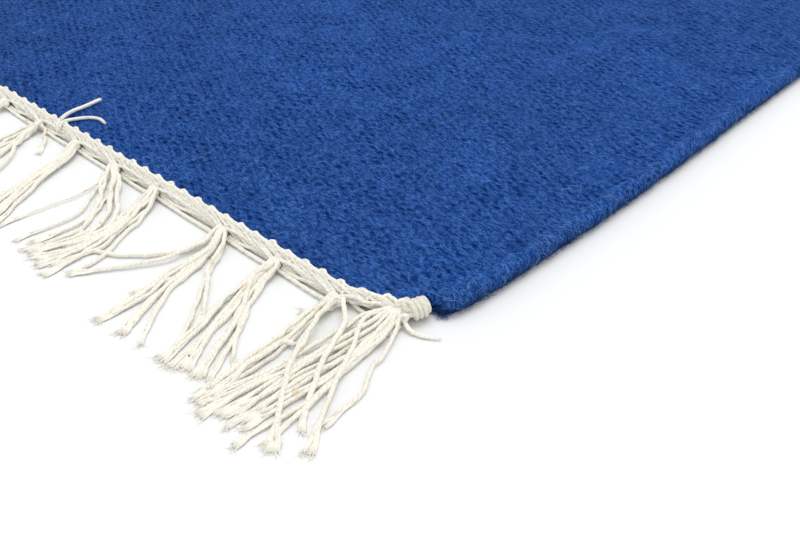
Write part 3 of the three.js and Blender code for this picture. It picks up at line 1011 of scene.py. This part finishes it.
cordFinish = cottonMaterial("cottonCord", 1.5, 0.45, 0.1, shade=(1, 1, 0.985), lumpy=1.0, sheen=1.0)
whipFinish = cottonMaterial("cottonWhipping", 2.2, 0.45, 0.16, shade=(0.81, 0.8, 0.765), lumpy=0.5)
fringeFinish = cottonMaterial("cottonFringe", 1.9, 0.42, 0.5, (0.96, 0.96, 0.95), "deepGrooveShade", lumpy=0.5)
brushFinish = cottonMaterial("cottonBrush", 1.9, 0.0, 0.3, shade=(0.97, 0.97, 0.96))
wispFinish = hairMaterial("cottonWisp", cotton["wisp"], cotton["wispTan"])

for number, end in enumerate(("front", "back")):
    chance = random.Random(11 + number)
    name = end.capitalize()
    strands = np.concatenate([bandStrands(end, chance), bandArcs(end, chance)])
    size = band["cord"] / 2
    cords = layStrands("twinedCords" + name, strands, size, cordFinish, sides=6, tip=(0.12, 0.75))
    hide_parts("twined_band_" + end)
    layStrands("bandHeart" + name, bandCore(end), band["coreSize"], cordFinish, sides=10)
    edge = layStrands("edgeCord" + name, edgeCords(end, chance), band["edgeCord"] / 2, fringeFinish,
                      sides=8, tip=(0.05, 0.8), lobes=band["lobes"])
    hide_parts("fringe_" + end)
    layStrands("knotLoops" + name, knotLoops(end, chance), knots["loop"], fringeFinish, tip=(0.1, 0.8))
    paths, widths = tasselCords(end, chance)
    paths = wavered(paths, chance)
    layStrands("tasselCords" + name, paths, widths / 2, fringeFinish, sides=6, tip=(0.12, 0.55))
    yarns, sizes = splitEnds(paths, widths, chance)
    layStrands("tasselYarns" + name, yarns, sizes, brushFinish, sides=4)
    hairs = dict(sides=3, tip=fringe["hairTip"])
    loose = [looseFibre(yarn, chance) for yarn in yarns for _ in range(fringe["wisps"])]
    layStrands("tasselWisps" + name, loose, fringe["wispSize"], wispFinish, **hairs)
    fuzzy = [cordFibre(paths, widths, chance) for _ in range(fringe["fuzz"])]
    layStrands("cordFuzz" + name, fuzzy, fringe["fuzzSize"], wispFinish, **hairs)
    for sign, side in ((1, "right"), (-1, "left")):
        corner = name + side.capitalize()
        turns, heart = whipping(end, sign)
        size = whip["cord"] / 2
        piece = layStrands("cornerWhipping" + corner, turns, size, whipFinish, sides=9, tip=(0.03, 0.6))
        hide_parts(f"corner_whipping_{end}_{side}")
        swell = whip["heart"] * np.sin(np.linspace(0.5, math.pi - 0.3, 12)) ** 0.4
        layStrands("whippingHeart" + corner, heart, swell, whipFinish, sides=12)
        layStrands("leadIn" + corner, leadIn(end, sign), whip["lead"], whipFinish)
        layStrands("cornerTail" + corner, cornerTail(end, sign), whip["tail"], cordFinish, tip=(0.35, 0.35))

strays = [evenPath([fromEndLine(*p) for p in stray["points"]], 22) for stray in strayEnds]
widths = np.array([stray["width"] for stray in strayEnds])
layStrands("strayEnds", strays, widths / 2, cordFinish, tip=(0.08, 0.85))
print("ends finished")

fuzz = dict(
    top=4000, nearEdges=0.5, edgeReach=45, curled=3600, standing=4900, longShare=0.12, corner=440,
    thin=0.045, thick=0.08, tip=(0.5, 0.4),
)


def topHairs():
    # Single fibres on the face, more of them near the edges where the rug is handled
    paths = []
    arch = np.sin(math.pi * (0.06 + hairSteps * 0.94))
    while len(paths) < fuzz["top"]:
        side, x = chance.choice((-1, 1)), chance.uniform(0, halfWidth - 6)
        y = chance.uniform(-1, 1) * (halfLength - 3)
        if chance.random() < fuzz["nearEdges"]:
            fromEdge = chance.expovariate(1 / fuzz["edgeReach"])
            if chance.random() < 0.6:
                x = float(sideAt(side, y)) - 6 - fromEdge
            else:
                y = math.copysign(halfLength - 3 - fromEdge, y)
        if not 0 < x < float(sideAt(side, y)) - 5 or halfLength - abs(y) < float(endInset(x)) + 2:
            continue
        x *= side
        turn = chance.uniform(0, 2 * math.pi)
        curl = chance.uniform(-2.6, 2.6)
        length = chance.uniform(1.5, 6)
        rise = chance.uniform(0.3, 1.3)
        dx, dy = curlOut(turn, curl, length)
        paths.append(fibrePath(x + dx, y + dy, outline["thick"] + rise * arch))
    return paths


def sideHair(standing):
    # A fibre on a selvedge, standing clear of the roll or lying curled over it
    sign = chance.choice((-1, 1))
    y = chance.uniform(-1, 1) * (halfLength - 12)
    length = chance.uniform(0.6, 2.8) if standing else chance.uniform(2, 7)
    if standing and chance.random() < fuzz["longShare"]:
        length = chance.uniform(3, 6)
    lift = chance.uniform(0.4, 1.5) if standing else chance.uniform(0.12, 0.5)
    face = math.radians(chance.uniform(-75, 60) if standing else chance.uniform(-40, 130))
    climb = chance.uniform(-1.5, 1.5)
    curl = chance.uniform(-1.4, 1.4)
    roll, t = outline["roll"], hairSteps
    turn = climb + curl * t
    angle = face + length * t * np.sin(turn) / roll
    along = y + length * t * np.cos(turn)
    out = roll + lift * (t if standing else np.sin(math.pi * t) + 0.1)
    across = sign * (sideAt(sign, along) - roll + out * np.cos(angle))
    return fibrePath(across, along, roll + out * np.sin(angle))


def cornerShadowHair():
    # A loose fibre at a corner of the wool, under the whipping; many dark ones there stand in for the shadow
    # as painted shadow
    side, end = chance.choice((-1, 1)), chance.choice((-1, 1))
    x = halfWidth - chance.uniform(5, 13)
    y = halfLength - float(endInset(x)) - 0.4
    turn = chance.gauss(1.3, 0.5)
    curl = chance.uniform(-1, 1)
    dx, dy = curlOut(turn, curl, chance.uniform(0.8, 3.4))
    z = chance.uniform(0.2, 2.4) * (1 - 0.7 * hairSteps) + 0.3 * np.sin(math.pi * hairSteps)
    return fibrePath(side * (x + dx), end * (y + dy), z)


def layHairs(name, paths, material):
    sizes = [chance.uniform(fuzz["thin"], fuzz["thick"]) for _ in paths]
    tints = [chance.random() ** 1.5 for _ in paths]
    layStrands(name, paths, sizes, material, sides=3, tip=fuzz["tip"], tints=tints)


chance = random.Random(23)
woolHair = hairMaterial("woolHair", fromSrgb(44, 102, 190), fromSrgb(140, 188, 248))
# Painted shade: the standing and corner hairs are coloured a dark navy for the shade they lie in
shadeDarkHair = hairMaterial("shadeDarkWoolHair", fromSrgb(14, 38, 84), fromSrgb(60, 105, 185))
layHairs("topHairs", topHairs(), woolHair)
layHairs("curledHairs", [sideHair(False) for _ in range(fuzz["curled"])], woolHair)
layHairs("standingHairs", [sideHair(True) for _ in range(fuzz["standing"])], shadeDarkHair)
layHairs("cornerShadowHairs", [cornerShadowHair() for _ in range(fuzz["corner"])], shadeDarkHair)
print("wool fuzz laid")

stage = dict(
    floor=(0.835, 0.851, 0.857, 1), size=6, gap=0.1, sky=0.92,
    lamp=0.97, lampWidth=40, lampFrom=(-0.06, 0.24, 0.96),
)


def makeFloor():
    floor = addObject("floor", gridMesh("floor", 1, 1, stage["size"]))
    floor.location.z = cadLow.z - stage["gap"] * mm
    material, _, shader = newMaterial("paleFloor", 0.95)
    shader.inputs["Base Color"].default_value = stage["floor"]
    floor.data.materials.append(material)


def addLights():
    world = bpy.data.worlds.new("studio")
    world.use_nodes = True
    tree = world.node_tree
    path = addNode(tree, "ShaderNodeLightPath")
    seen = Wire(path, "Is Camera Ray").do("MAXIMUM", Wire(path, "Is Glossy Ray"))
    sky = tree.nodes["Background"]
    sky.inputs["Color"].default_value = (1, 1, 1, 1)
    connect(tree, seen.do("MAXIMUM", stage["sky"]), sky.inputs["Strength"])
    bpy.context.scene.world = world
    data = bpy.data.lights.new("window", "SUN")
    data.energy = stage["lamp"]
    data.angle = math.radians(stage["lampWidth"])
    lamp = addObject("window", data)
    lamp.rotation_euler = Vector(stage["lampFrom"]).to_track_quat("Z", "Y").to_euler()


makeFloor()
addLights()
bpy.context.scene.view_settings.view_transform = "Standard"
print("stage set")
